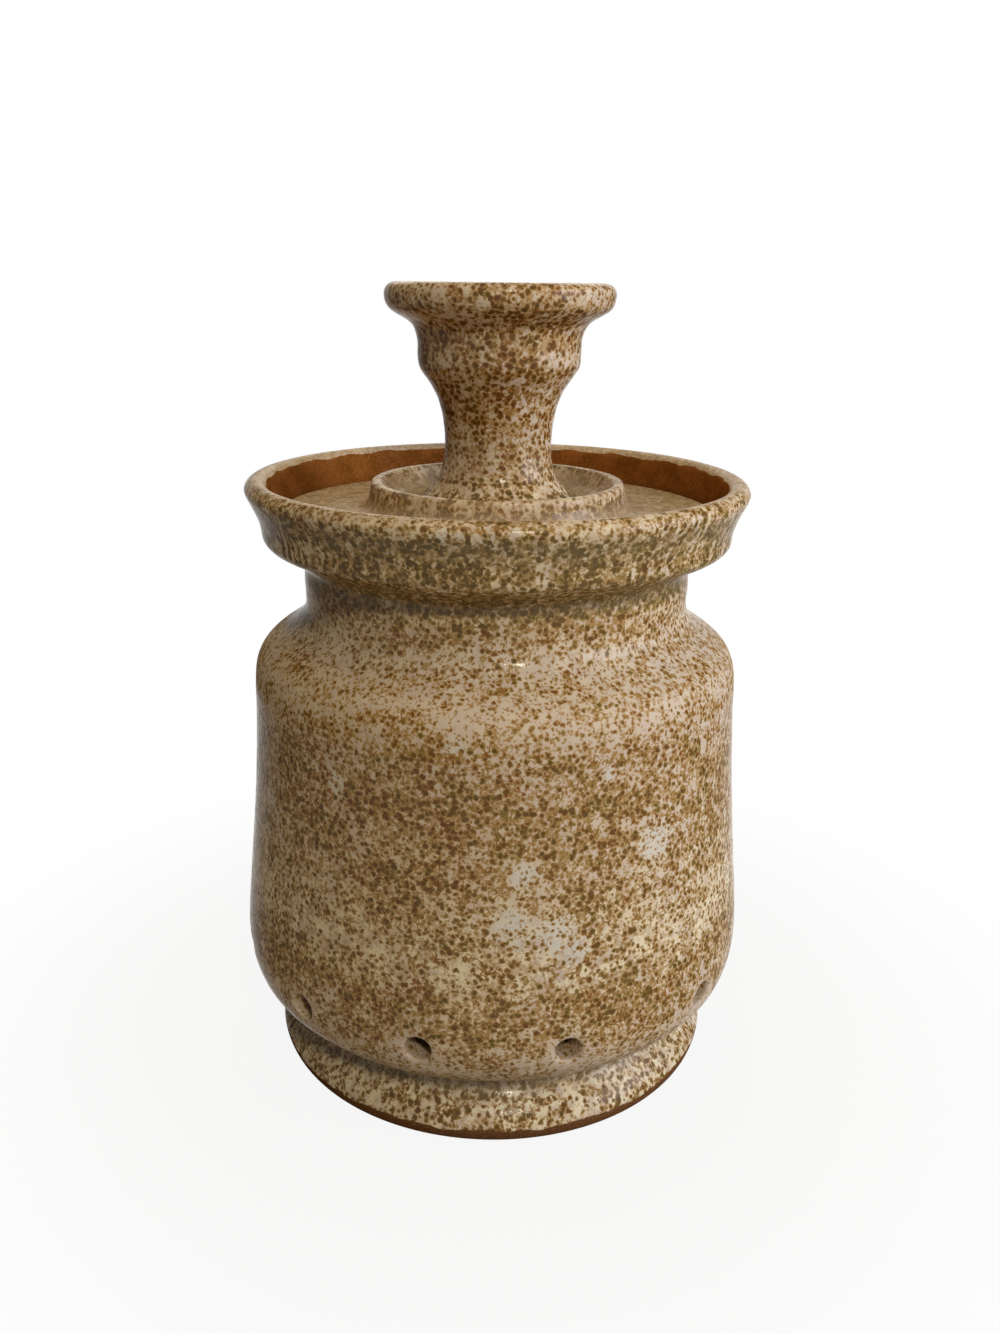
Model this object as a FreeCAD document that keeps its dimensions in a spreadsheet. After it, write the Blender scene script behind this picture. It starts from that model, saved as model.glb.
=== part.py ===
import FreeCAD, Part
import os
import Sketcher

# A thrown stoneware garlic keeper: a vented jar with a seat for the lid inside its flared rim, a ringed
# lid that drops onto the seat, and a tall cupped knob luted to the lid.
# Millimetres, +Z up, with the origin at the centre of the foot.

# The sizes to set. A point that steers a wall has a radius, and a rise above the point before it.
sizes = {
    # Jar: the trimmed foot.
    "soleRadius": 58.0,
    "footRingWidth": 8.0,
    "recessDepth": 2.6,
    "recessDraft": 1.0,
    "toeRound": 0.8,
    "toeRadius": 59.6,
    "toeRise": 3.6,
    "footCrownRadius": 59.6,
    "footCrownRise": 2.4,
    "footSlopeRadius": 54.7,
    "footSlopeRise": 4.0,
    # Jar: the groove above the foot and the belly.
    "grooveRadius": 51.6,
    "grooveRise": 4.0,
    "bellyUnderRadius": 60.2,
    "bellyUnderRise": 4.5,
    "bellyTurnRadius": 66.3,
    "bellyTurnRise": 5.5,
    "bellyRadius": 68.0,
    "bellyRise": 9.0,
    # Jar: the wall, the shoulder and the neck.
    "wallLowRadius": 66.1,
    "wallLowRise": 17.0,
    "wallMiddleRadius": 63.6,
    "wallMiddleRise": 25.0,
    "wallHighRadius": 62.2,
    "wallHighRise": 23.0,
    "shoulderRadius": 62.3,
    "shoulderRise": 10.0,
    "shoulderTurnRadius": 59.1,
    "shoulderTurnRise": 5.0,
    "shoulderSlopeRadius": 50.8,
    "shoulderSlopeRise": 4.5,
    "neckFootRadius": 48.2,
    "neckFootRise": 5.0,
    "neckBeadRadius": 48.8,
    "neckBeadRise": 6.5,
    # Jar: the flared gallery and its rounded rim.
    "galleryUnderRadius": 48.1,
    "galleryUnderRise": 5.5,
    "galleryCornerRadius": 59.4,
    "galleryCornerRise": 4.0,
    "gallerySideRadius": 58.5,
    "gallerySideRise": 3.0,
    "galleryWaistRadius": 59.9,
    "galleryWaistRise": 5.0,
    "rimRadius": 62.7,
    "rimRise": 4.9,
    "rimRound": 2.9,
    # Jar: the bare seat wall inside the gallery and the flat seat of the lid.
    "seatWallThickness": 2.5,
    "seatFloorThickness": 3.1,
    "seatWidth": 6.0,
    "seatEdgeRound": 1.6,
    # Jar: the walls, and the floor with the cove round it.
    "wall": 5.4,
    "neckWall": 4.6,
    "flareWall": 1.8,
    "floorThickness": 7.0,
    "floorCove": 9.0,
    # Jar: the vents. Four are placed one by one, and the rest share what is left of the circle.
    "ventDiameter": 6.4,
    "ventLipRound": 1.1,
    "ventHeight": 31.0,
    "farLeftVentAngle": -43.5,
    "leftVentAngle": -14.8,
    "rightVentAngle": 15.7,
    "farRightVentAngle": 52.0,
    "rearVentCount": 8,
    # Lid: a flat plate with play inside the seat wall, a shallow recess below and a raised ring on top.
    "lidPlay": 0.8,
    "lidThickness": 4.0,
    "lidEdgeRound": 1.2,
    "lidRecessRadius": 30.0,
    "lidRecessDepth": 1.7,
    "ringRadius": 30.4,
    "ringRise": 7.4,
    "ringHalfWidth": 1.5,
    "ringCove": 1.6,
    "troughRise": 2.4,
    # Knob: a flared foot on the floor of the trough, and a waist to grip.
    "knobFootRadius": 20.8,
    "knobFlareRadius": 17.0,
    "knobFlareRise": 2.5,
    "stemFootRadius": 14.3,
    "stemFootRise": 3.5,
    "stemWaistRadius": 13.0,
    "stemWaistRise": 6.0,
    "stemMiddleRadius": 13.4,
    "stemMiddleRise": 7.0,
    "stemHighRadius": 14.5,
    "stemHighRise": 5.5,
    "stemTopRadius": 16.9,
    "stemTopRise": 4.5,
    # Knob: the collar and the shallow open cup.
    "collarFootRadius": 20.1,
    "collarFootRise": 3.5,
    "collarRadius": 19.7,
    "collarRise": 4.0,
    "collarTopRadius": 20.0,
    "collarTopRise": 4.0,
    "cupUnderRadius": 21.6,
    "cupUnderRise": 2.8,
    "cupFlareRadius": 27.4,
    "cupFlareRise": 2.3,
    "cupSideRadius": 27.8,
    "cupSideRise": 3.1,
    "cupRimRise": 3.3,
    "cupRimWidth": 3.6,
    "cupDepth": 10.5,
}

# The points up the outside of the jar and of the knob, each from the foot upwards.
jarPoints = ["toe", "footCrown", "footSlope", "groove", "bellyUnder", "bellyTurn", "belly",
             "wallLow", "wallMiddle", "wallHigh", "shoulder", "shoulderTurn", "shoulderSlope",
             "neckFoot", "neckBead", "galleryUnder", "galleryCorner", "gallerySide",
             "galleryWaist", "rim"]
knobPoints = ["knobFlare", "stemFoot", "stemWaist", "stemMiddle", "stemHigh", "stemTop",
              "collarFoot", "collar", "collarTop", "cupUnder", "cupFlare", "cupSide"]

# What follows from the sizes. Jar: the foot.
jarFollows = {
    "recessHeight": "=recessDepth",
    "soleInnerRadius": "=soleRadius - footRingWidth",
    "recessRadius": "=soleInnerRadius - recessDraft",
    "toeCornerRadius": "=toeRadius - toeRound / 2",
    "toeCornerHeight": "=toeRound",
    # The rim and the seat.
    "rimTopRadius": "=rimRadius - rimRound",
    "rimInnerRadius": "=rimRadius - 2 * rimRound",
    "seatOuterRadius": "=min(gallerySideRadius; galleryWaistRadius)",
    "seatRadius": "=min(seatOuterRadius - seatWallThickness; rimInnerRadius)",
    "seatHeight": "=galleryCornerHeight + seatFloorThickness",
    "seatEdgeRadius": "=seatRadius - seatWidth",
    "throatRadius": "=seatEdgeRadius - seatEdgeRound",
    "seatUnderHeight": "=seatHeight - seatEdgeRound",
    # The inside, which follows the outside at the thickness of the wall but runs past the groove.
    "floorHeight": "=recessHeight + floorThickness",
    "coveRadius": "=grooveRadius - wall",
    "floorRadius": "=coveRadius - floorCove",
    "innerUnderRadius": "=bellyUnderRadius - wall",
    "innerUnderHeight": "=max(bellyUnderHeight + wall / 2; floorHeight + floorCove)",
    "innerBellyRadius": "=bellyRadius - wall",
    "innerLowRadius": "=wallLowRadius - wall",
    "innerMiddleRadius": "=wallMiddleRadius - wall",
    "innerHighRadius": "=wallHighRadius - wall",
    "innerHighHeight": "=wallHighHeight - wall / 2",
    "innerShoulderRadius": "=shoulderRadius - wall",
    "innerShoulderHeight": "=shoulderHeight - wall / 2",
    "innerTurnRadius": "=shoulderTurnRadius - wall",
    "innerTurnHeight": "=shoulderTurnHeight - wall / 2",
    "innerSlopeRadius": "=shoulderSlopeRadius - neckWall",
    "innerSlopeHeight": "=shoulderSlopeHeight - neckWall / 2",
    "innerNeckRadius": "=neckFootRadius - neckWall",
    "innerBeadRadius": "=neckBeadRadius - neckWall",
    "innerFlareRadius": "=galleryUnderRadius - flareWall",
    "innerFlareHeight": "=galleryUnderHeight + neckWall / 2",
    # The vents.
    "rearVentPitch": "=(360 - farRightVentAngle + farLeftVentAngle) / (rearVentCount + 1)",
    "rearVentAngle": "=farRightVentAngle + rearVentPitch",
    "rearVentSweep": "=rearVentPitch * (rearVentCount - 1)",
    "ventReach": "=bellyRadius + wall",
}
lidFollows = {
    "lidRadius": "=seatRadius - lidPlay",
    "lidFlatRadius": "=lidRadius - lidEdgeRound",
    "lidUnderHeight": "=seatHeight + lidEdgeRound",
    "landHeight": "=seatHeight + lidThickness",
    "lidBrimHeight": "=landHeight - lidEdgeRound",
    "lidRecessRootRadius": "=lidRecessRadius - lidRecessDepth",
    "lidRecessHeight": "=seatHeight + lidRecessDepth",
    "ringHeight": "=landHeight + ringRise",
    "ringSideHeight": "=landHeight + ringRise / 2",
    "ringOuterRadius": "=ringRadius + ringHalfWidth",
    "ringInnerRadius": "=ringRadius - ringHalfWidth",
    "ringRootRadius": "=ringOuterRadius + ringCove",
    "ringFootRadius": "=ringOuterRadius + 3 * ringCove",
    "troughHeight": "=landHeight + troughRise",
    "troughWallRadius": "=ringInnerRadius - ringCove / 2",
    "troughWallHeight": "=(troughHeight + ringHeight) / 2",
    "troughRootRadius": "=ringInnerRadius - 2 * ringCove",
    "troughFloorRadius": "=max(ringInnerRadius - 4 * ringCove; knobFootRadius)",
}
knobFollows = {
    "cupBrowHeight": "=cupSideHeight + 2 * cupRimRise / 3",
    "cupRimHeight": "=cupSideHeight + cupRimRise",
    "cupRimOuterRadius": "=cupSideRadius - cupRimWidth / 2",
    "cupRimRadius": "=cupSideRadius - cupRimWidth",
    "cupRimInnerRadius": "=cupSideRadius - 3 * cupRimWidth / 2",
    "cupWallRadius": "=cupSideRadius - 2 * cupRimWidth",
    "cupWallHeight": "=cupRimHeight - cupDepth / 3",
    "cupCornerRadius": "=collarTopRadius - cupRimWidth",
    "cupCornerHeight": "=cupRimHeight - 3 * cupDepth / 4",
    "cupFloorRadius": "=cupCornerRadius / 2",
    "cupFloorHeight": "=cupRimHeight - cupDepth",
}

doc = FreeCAD.newDocument("GarlicKeeper")
sheet = doc.addObject("Spreadsheet::Sheet", "Sizes")


def heights(points, base):
    """The height of each point: that of the one before it, and its own rise."""
    below = [base] + [point + "Height" for point in points]
    return {point + "Height": "=%s + %sRise" % (last, point) for last, point in zip(below, points)}


groups = [sizes, {"ground": 0}, heights(jarPoints, "ground"), jarFollows, lidFollows,
          heights(knobPoints, "troughHeight"), knobFollows]
rows = [pair for group in groups for pair in group.items()]
for row, (name, value) in enumerate(rows, 1):
    sheet.set("A%d" % row, name)
    sheet.set("B%d" % row, str(value))
    sheet.setAlias("B%d" % row, name)
doc.recompute()


# A place in a half section is a pair of names: its radius and its height. None is the axis or the ground.
def at(place):
    return (place + "Radius", place + "Height")


def onAxis(height):
    return (None, height)


def onGround(radius):
    return (radius, None)


def spot(place):
    radius, height = [float(sheet.get(name)) if name else 0.0 for name in place]
    return FreeCAD.Vector(radius, height, 0)


def bind(sketch, kind, geometry, point, name):
    """Hold one coordinate of a point to a named value."""
    value = float(sheet.get(name))
    index = sketch.addConstraint(Sketcher.Constraint(kind, -1, 1, geometry, point, value))
    sketch.setExpression("Constraints[%d]" % index, "Sizes." + name)


def pin(sketch, geometry, point, place):
    """Hold a point to its place."""
    radius, height = place
    if radius:
        bind(sketch, "DistanceX", geometry, point, radius)
    else:
        sketch.addConstraint(Sketcher.Constraint("PointOnObject", geometry, point, -2))
    if height:
        bind(sketch, "DistanceY", geometry, point, height)
    else:
        sketch.addConstraint(Sketcher.Constraint("PointOnObject", geometry, point, -1))


def line(sketch, places):
    geometry = sketch.addGeometry(Part.LineSegment(spot(places[0]), spot(places[1])), False)
    pin(sketch, geometry, 2, places[1])
    return geometry


def arc(sketch, places):
    """An arc from the first place round the second, anticlockwise to the height of the third."""
    start, centre, end = [spot(place) for place in places]
    circle = Part.Circle(centre, FreeCAD.Vector(0, 0, 1), (start - centre).Length)
    shape = Part.ArcOfCircle(circle, circle.parameter(start), circle.parameter(end))
    geometry = sketch.addGeometry(shape, False)
    pin(sketch, geometry, 3, places[1])
    bind(sketch, "DistanceY", geometry, 2, places[2][1])
    return geometry


def curve(sketch, places):
    """A spline that starts and ends at the outer places and is drawn towards those between."""
    poles = [spot(place) for place in places]
    degree = min(3, len(poles) - 1)
    spans = len(poles) - degree
    repeats = [degree + 1] + [1] * (spans - 1) + [degree + 1]
    knots = [float(knot) for knot in range(spans + 1)]
    weights = [1.0] * len(poles)
    spline = Part.BSplineCurve(poles, repeats, knots, False, degree, weights, False)
    geometry = sketch.addGeometry(spline, False)
    for index, pole in enumerate(poles):
        handle = sketch.addGeometry(Part.Circle(pole, FreeCAD.Vector(0, 0, 1), 1.0), True)
        if index == 0:
            firstHandle = handle
            sketch.addConstraint(Sketcher.Constraint("Weight", handle, 1.0))
        else:
            sketch.addConstraint(Sketcher.Constraint("Equal", firstHandle, handle))
        role = "InternalAlignment:Sketcher::BSplineControlPoint"
        sketch.addConstraint(Sketcher.Constraint(role, handle, 3, geometry, index))
        if 0 < index < len(poles) - 1:
            pin(sketch, handle, 3, places[index])
    pin(sketch, geometry, 2, places[-1])
    return geometry


def outline(sketch, runs):
    """Close a half section out of runs, each of which starts where the one before it ends."""
    drawn = [draw(sketch, places) for draw, places in runs]
    for index, geometry in enumerate(drawn):
        sketch.addConstraint(Sketcher.Constraint("Coincident", drawn[index - 1], 2, geometry, 1))


def originFeature(body, role):
    return [feature for feature in body.Origin.OriginFeatures if feature.Role == role][0]


def newSketch(body, name):
    sketch = body.newObject("Sketcher::SketchObject", name)
    sketch.AttachmentSupport = [(originFeature(body, "XZ_Plane"), "")]
    sketch.MapMode = "FlatFace"
    return sketch


def thrown(name, runs):
    """A body thrown on the wheel: one half section turned about the vertical axis."""
    body = doc.addObject("PartDesign::Body", name + "Body")
    body.Label = name
    sketch = newSketch(body, name + "Section")
    outline(sketch, runs)
    turn = body.newObject("PartDesign::Revolution", name + "Thrown")
    turn.Profile = sketch
    turn.ReferenceAxis = (sketch, ["V_Axis"])
    turn.Angle = 360
    doc.recompute()
    return body


jar = thrown("jar", [
    (line, [onAxis("recessHeight"), at("recess")]),
    (line, [at("recess"), onGround("soleInnerRadius")]),
    (line, [onGround("soleInnerRadius"), onGround("soleRadius")]),
    (curve, [onGround("soleRadius"), at("toeCorner"), at("toe")]),
    (curve, [at(point) for point in jarPoints]),
    (arc, [at("rim"), ("rimTopRadius", "rimHeight"), ("rimInnerRadius", "rimHeight")]),
    (line, [("rimInnerRadius", "rimHeight"), at("seat")]),
    (line, [at("seat"), ("seatEdgeRadius", "seatHeight")]),
    (curve, [("seatEdgeRadius", "seatHeight"), ("throatRadius", "seatHeight"),
             ("throatRadius", "seatUnderHeight"), at("innerFlare"),
             ("innerBeadRadius", "neckBeadHeight"), ("innerNeckRadius", "neckFootHeight"),
             at("innerSlope"), at("innerTurn"), at("innerShoulder"), at("innerHigh"),
             ("innerMiddleRadius", "wallMiddleHeight"), ("innerLowRadius", "wallLowHeight"),
             ("innerBellyRadius", "bellyHeight"), at("innerUnder"),
             ("coveRadius", "floorHeight"), at("floor")]),
    (line, [at("floor"), onAxis("floorHeight")]),
    (line, [onAxis("floorHeight"), onAxis("recessHeight")]),
])


def vent(name, angle):
    """A round hole bored straight in through the belly, turned to its angle about the jar's axis."""
    sketch = newSketch(jar, name + "Section")
    upright = FreeCAD.Vector(0, 1, 0)
    turn = FreeCAD.Rotation(upright, float(sheet.get(angle)))
    sketch.AttachmentOffset = FreeCAD.Placement(FreeCAD.Vector(), turn)
    sketch.setExpression("AttachmentOffset.Rotation.Angle", "Sizes.%s * 1 deg" % angle)
    centre = FreeCAD.Vector(0, float(sheet.get("ventHeight")), 0)
    radius = float(sheet.get("ventDiameter")) / 2
    circle = sketch.addGeometry(Part.Circle(centre, FreeCAD.Vector(0, 0, 1), radius), False)
    pin(sketch, circle, 3, onAxis("ventHeight"))
    index = sketch.addConstraint(Sketcher.Constraint("Diameter", circle, 2 * radius))
    sketch.setExpression("Constraints[%d]" % index, "Sizes.ventDiameter")
    pocket = jar.newObject("PartDesign::Pocket", name)
    pocket.Profile = sketch
    pocket.Reversed = True
    pocket.setExpression("Length", "Sizes.ventReach")
    doc.recompute()
    return pocket


for side in ["farLeft", "left", "right", "farRight"]:
    vent(side + "Vent", side + "VentAngle")
rearVent = vent("rearVent", "rearVentAngle")
rearVents = jar.newObject("PartDesign::PolarPattern", "rearVents")
rearVents.Originals = [rearVent]
rearVents.Axis = (originFeature(jar, "Z_Axis"), [""])
rearVents.setExpression("Angle", "Sizes.rearVentSweep")
rearVents.setExpression("Occurrences", "Sizes.rearVentCount")
jar.Tip = rearVents
doc.recompute()


def fromAxis(edge):
    centre = edge.BoundBox.Center
    return FreeCAD.Vector(centre.x, centre.y, 0).Length


def isAtVent(edge):
    """An edge at the height of the vents and no larger than one: an end of a vent, or its seam."""
    across = float(sheet.get("ventDiameter"))
    nearby = abs(edge.BoundBox.Center.z - float(sheet.get("ventHeight"))) < across / 2
    return nearby and edge.BoundBox.DiagonalLength < 2 * across


# The lips are where the vents break out of the belly, so they are the outermost of those edges.
ventEdges = [pair for pair in enumerate(rearVents.Shape.Edges, 1) if isAtVent(pair[1])]
ventFace = max(fromAxis(edge) for number, edge in ventEdges)
lipFloor = ventFace - float(sheet.get("wall")) / 2
lips = ["Edge%d" % number for number, edge in ventEdges if fromAxis(edge) > lipFloor]
ventLips = jar.newObject("PartDesign::Fillet", "ventLips")
ventLips.Base = (rearVents, lips)
ventLips.setExpression("Radius", "Sizes.ventLipRound")
jar.Tip = ventLips
doc.recompute()

lid = thrown("lid", [
    (line, [onAxis("lidRecessHeight"), ("lidRecessRootRadius", "lidRecessHeight")]),
    (line, [("lidRecessRootRadius", "lidRecessHeight"), ("lidRecessRadius", "seatHeight")]),
    (line, [("lidRecessRadius", "seatHeight"), ("lidFlatRadius", "seatHeight")]),
    (curve, [("lidFlatRadius", "seatHeight"), ("lidRadius", "seatHeight"),
             ("lidRadius", "lidUnderHeight")]),
    (line, [("lidRadius", "lidUnderHeight"), ("lidRadius", "lidBrimHeight")]),
    (curve, [("lidRadius", "lidBrimHeight"), ("lidRadius", "landHeight"),
             ("lidFlatRadius", "landHeight")]),
    (line, [("lidFlatRadius", "landHeight"), ("ringFootRadius", "landHeight")]),
    (curve, [("ringFootRadius", "landHeight"), ("ringRootRadius", "landHeight"),
             ("ringOuterRadius", "ringSideHeight"), ("ringOuterRadius", "ringHeight"),
             at("ring"), ("ringInnerRadius", "ringHeight"), at("troughWall"),
             ("troughRootRadius", "troughHeight"), ("troughFloorRadius", "troughHeight")]),
    (line, [("troughFloorRadius", "troughHeight"), onAxis("troughHeight")]),
    (line, [onAxis("troughHeight"), onAxis("lidRecessHeight")]),
])

knob = thrown("knob", [
    (line, [onAxis("troughHeight"), ("knobFootRadius", "troughHeight")]),
    (curve, [("knobFootRadius", "troughHeight")] + [at(point) for point in knobPoints]
            + [("cupSideRadius", "cupBrowHeight"), ("cupRimOuterRadius", "cupRimHeight"),
               at("cupRim")]),
    (curve, [at("cupRim"), ("cupRimInnerRadius", "cupRimHeight"), at("cupWall"), at("cupCorner"),
             at("cupFloor"), onAxis("cupFloorHeight")]),
    (line, [onAxis("cupFloorHeight"), onAxis("troughHeight")]),
])

pieces = [jar, lid, knob]
for item in doc.Objects:
    failed = [word for word in item.State if word in ("Invalid", "Error")]
    if failed:
        raise RuntimeError("%s is %s" % (item.Name, failed))
for piece in pieces:
    if piece.Shape.isNull() or not piece.Shape.isValid():
        raise RuntimeError("%s has no valid shape" % piece.Label)

os.makedirs("parts", exist_ok=True)
for piece in pieces:
    piece.Shape.exportStep("parts/%s.step" % piece.Label)
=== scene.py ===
import math
import bmesh
import bpy
from mathutils import Matrix, Vector, noise
from mathutils.bvhtree import BVHTree


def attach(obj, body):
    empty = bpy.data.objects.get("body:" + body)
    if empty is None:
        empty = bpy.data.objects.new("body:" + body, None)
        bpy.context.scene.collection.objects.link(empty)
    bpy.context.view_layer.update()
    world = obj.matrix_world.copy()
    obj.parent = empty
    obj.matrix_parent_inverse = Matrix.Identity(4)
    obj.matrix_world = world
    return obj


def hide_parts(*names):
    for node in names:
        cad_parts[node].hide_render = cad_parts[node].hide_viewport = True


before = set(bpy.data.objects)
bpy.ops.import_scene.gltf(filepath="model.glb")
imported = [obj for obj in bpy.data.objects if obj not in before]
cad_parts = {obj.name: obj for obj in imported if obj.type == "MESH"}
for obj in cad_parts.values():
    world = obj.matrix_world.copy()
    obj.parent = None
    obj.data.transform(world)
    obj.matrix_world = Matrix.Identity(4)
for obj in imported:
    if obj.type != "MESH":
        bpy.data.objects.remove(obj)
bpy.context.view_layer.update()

mm = 0.001  # sizes are written in millimetres
joinGap = 0.02 * mm  # points nearer than this become one
print("frame: loaded", sorted(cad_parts))


# Throwing: a half section is drawn, and turned about the upright axis. The section is a list of runs,
# and a run is its points (radius, height), its order (2 straight, 4 flowing) and its rings per span.
def drawSection(name, runs):
    curve = bpy.data.curves.new(name, "CURVE")
    curve.dimensions = "3D"
    for points, order, rings in runs:
        spline = curve.splines.new("NURBS")
        spline.points.add(len(points) - 1)
        for point, (radius, height) in zip(spline.points, points):
            point.co = (radius * mm, 0, height * mm, 1)
        spline.order_u = min(order, len(points))
        spline.use_endpoint_u = True
        spline.resolution_u = rings
    holder = bpy.data.objects.new(name, curve)
    wire = bpy.data.meshes.new_from_object(holder)
    section = bmesh.new()
    section.from_mesh(wire)
    bpy.data.objects.remove(holder)
    bpy.data.curves.remove(curve)
    bpy.data.meshes.remove(wire)
    return section


# A rounded edge is one vertex turned about the centre of the round.
def roundEdge(section, start, centre, rings):
    edge = section.verts.new((start[0] * mm, 0, start[1] * mm))
    bmesh.ops.spin(section, geom=[edge], cent=(centre[0] * mm, 0, centre[1] * mm), axis=(0, -1, 0),
                   angle=math.pi, steps=rings, use_merge=False, use_duplicate=False)


def closeSection(section):
    bmesh.ops.remove_doubles(section, verts=section.verts, dist=joinGap)


# Angles are counted from the front, towards the right.
def outward(angle):
    return Vector((math.sin(math.radians(angle)), -math.cos(math.radians(angle)), 0))


def turnSection(section, angles, steps):
    bmesh.ops.rotate(section, verts=section.verts, cent=(0, 0, 0),
                     matrix=Matrix.Rotation(math.radians(angles[0] - 90), 3, "Z"))
    edge = section.verts[:] + section.edges[:]
    for start, end in zip(angles, angles[1:]):
        turned = bmesh.ops.spin(section, geom=edge, cent=(0, 0, 0), axis=(0, 0, 1),
                                angle=math.radians(end - start), steps=steps,
                                use_merge=False, use_duplicate=False)
        edge = turned["geom_last"]
    bmesh.ops.remove_doubles(section, verts=section.verts, dist=joinGap)
    bmesh.ops.recalc_face_normals(section, faces=section.faces)


hand = {
    "middle": 5,  # the hand leaves the middle of a floor or a plate alone, this far out
    "turnSize": 1.3,  # the slow wander is read from the noise on a circle of this radius
    "riseSize": 45,  # and one step up in the noise is this far up the wall
}


# The hand shows in a slow wander of the wall and in the faint spiral left by the fingers.
def handle(shape, piece, calm):
    for vertex in shape.verts:
        out = Vector((vertex.co.x, vertex.co.y, 0))
        if out.length < hand["middle"] * mm:
            continue
        side = out.normalized()
        height = vertex.co.z / mm
        slow = noise.noise(Vector((side.x * hand["turnSize"], side.y * hand["turnSize"],
                                   height / hand["riseSize"])))
        turn = math.atan2(side.y, side.x)
        quick = math.sin(2 * math.pi * height / piece["spiralPitch"] + turn + 2 * slow)
        push = piece["wander"] * slow + piece["spiral"] * quick
        vertex.co += side * push * calm(out.length / mm, height) * mm


def noCalm(radius, height):
    return 1


def finishPiece(name, shape, body, node):
    mesh = bpy.data.meshes.new(name)
    shape.to_mesh(mesh)
    shape.free()
    mesh.polygons.foreach_set("use_smooth", [True] * len(mesh.polygons))
    piece = bpy.data.objects.new(name, mesh)
    bpy.context.scene.collection.objects.link(piece)
    smooth = piece.modifiers.new("smooth", "SUBSURF")
    smooth.levels = 1
    smooth.render_levels = 1
    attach(piece, body)
    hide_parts(node)
    return piece


# The jar, from the middle of the sole up the outside and down the inside.
jar = {
    "sole": [(0, 2.6), (49.0, 2.6)],
    "footRing": [(49.0, 2.6), (50.0, 0), (58.0, 0)],
    "toe": [(58.0, 0), (59.2, 0.8), (59.6, 3.6)],
    "outside": [(59.6, 3.6), (59.6, 6.0), (54.7, 10.0), (51.6, 14.0), (60.2, 18.5), (66.3, 24.0),
                (68.0, 33.0), (66.1, 50.0), (63.6, 75.0), (62.2, 98.0), (62.3, 108.0), (59.1, 113.0),
                (50.8, 117.5), (47.9, 122.5), (49.4, 129.0), (47.6, 134.5), (59.4, 138.5),
                (58.5, 141.5), (59.9, 146.5), (62.7, 151.4)],
    "rimCentre": (59.8, 151.4),
    "seatWall": [(56.9, 151.4), (56.0, 141.6)],
    "seat": [(56.0, 141.6), (50.0, 141.6)],
    "inside": [(50.0, 141.6), (48.4, 141.6), (48.4, 140.0), (46.3, 136.8), (44.2, 129.0),
               (43.6, 122.5), (46.2, 115.2), (53.7, 110.3), (56.9, 105.3), (56.8, 95.3), (58.2, 75.0),
               (60.7, 50.0), (62.6, 33.0), (54.8, 21.2), (46.2, 9.6), (37.2, 9.6)],
    "floor": [(37.2, 9.6), (0, 9.6)],
    "columns": 12,  # columns of faces from one vent to the next
    "ventHeight": 31.0,
    "ventBore": 3.2,
    "ventSwell": 1.02,  # a bore of sixteen sides is this much wider over its corners
    "ventLip": 1.1,
    "ventRing": 2.9,  # the rings of faces round a vent are this far apart
    "ventClear": 1.4,  # no other ring comes as near to them as this
    "frontVents": [-43.5, -14.8, 15.7, 52.0],
    "rearVents": 8,
    # rings of a vent's two ends (beyond the bore, depth): millimetres inside, shares of the lip outside
    "innerRings": [(0.7, 0), (0.1, 0.35), (0, 1.2)],
    "outerRings": [(2.2, 0), (1, 0), (0.45, 0.18), (0.1, 0.55), (0, 1.15), (0, 2.2)],
    # the pale glaze round a vent: how far out the wall is, where the halo starts and how far it reaches
    "haloFace": 67.2,
    "haloStart": 3.6,
    "haloReach": 3.2,
    "redness": 0.08,
    "wander": 0.3,
    "spiral": 0.05,
    "spiralPitch": 5.5,
    # the seat keeps this share of the wander, within this radius and above this height
    "seatShare": 0.15,
    "seatRadius": 57.5,
    "seatHeight": 138,
    "footHeight": 12,  # from here down the wander dies away to the sole
}

section = drawSection("jarSection", [
    (jar["sole"], 2, 8), (jar["footRing"], 2, 3), (jar["toe"], 3, 3), (jar["outside"], 4, 4),
    (jar["seatWall"], 2, 5), (jar["seat"], 2, 4), (jar["inside"], 4, 3), (jar["floor"], 2, 7)])
roundEdge(section, jar["outside"][-1], jar["rimCentre"], 9)
closeSection(section)

# Rings of faces are laid level with the vents, and those that crowd them are taken out.
ventRows = [jar["ventHeight"] + row * jar["ventRing"] for row in (-2, -1, 0, 1, 2)]
for row in ventRows:
    bmesh.ops.bisect_plane(section, geom=section.verts[:] + section.edges[:], dist=0.001 * mm,
                           plane_co=(0, 0, row * mm), plane_no=(0, 0, 1))
crowded = [vertex for vertex in section.verts
           if ventRows[0] - jar["ventClear"] < vertex.co.z / mm < ventRows[-1] + jar["ventClear"]
           and min(abs(vertex.co.z / mm - row) for row in ventRows) > 0.01]
bmesh.ops.dissolve_verts(section, verts=crowded)

rearGap = (360 - jar["frontVents"][-1] + jar["frontVents"][0]) / (jar["rearVents"] + 1)
vents = jar["frontVents"] + [jar["frontVents"][-1] + rearGap * (turn + 1)
                             for turn in range(jar["rearVents"])]
turnSection(section, vents + [vents[0] + 360], jar["columns"])
wall = section
print("jar: turned,", len(wall.faces), "faces and", len(vents), "vents to pierce")

unpierced = BVHTree.FromBMesh(wall)
ventMiddle = Vector((0, 0, jar["ventHeight"] * mm))
sixteenth = math.pi / 8
farOut = 100 * mm


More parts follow.
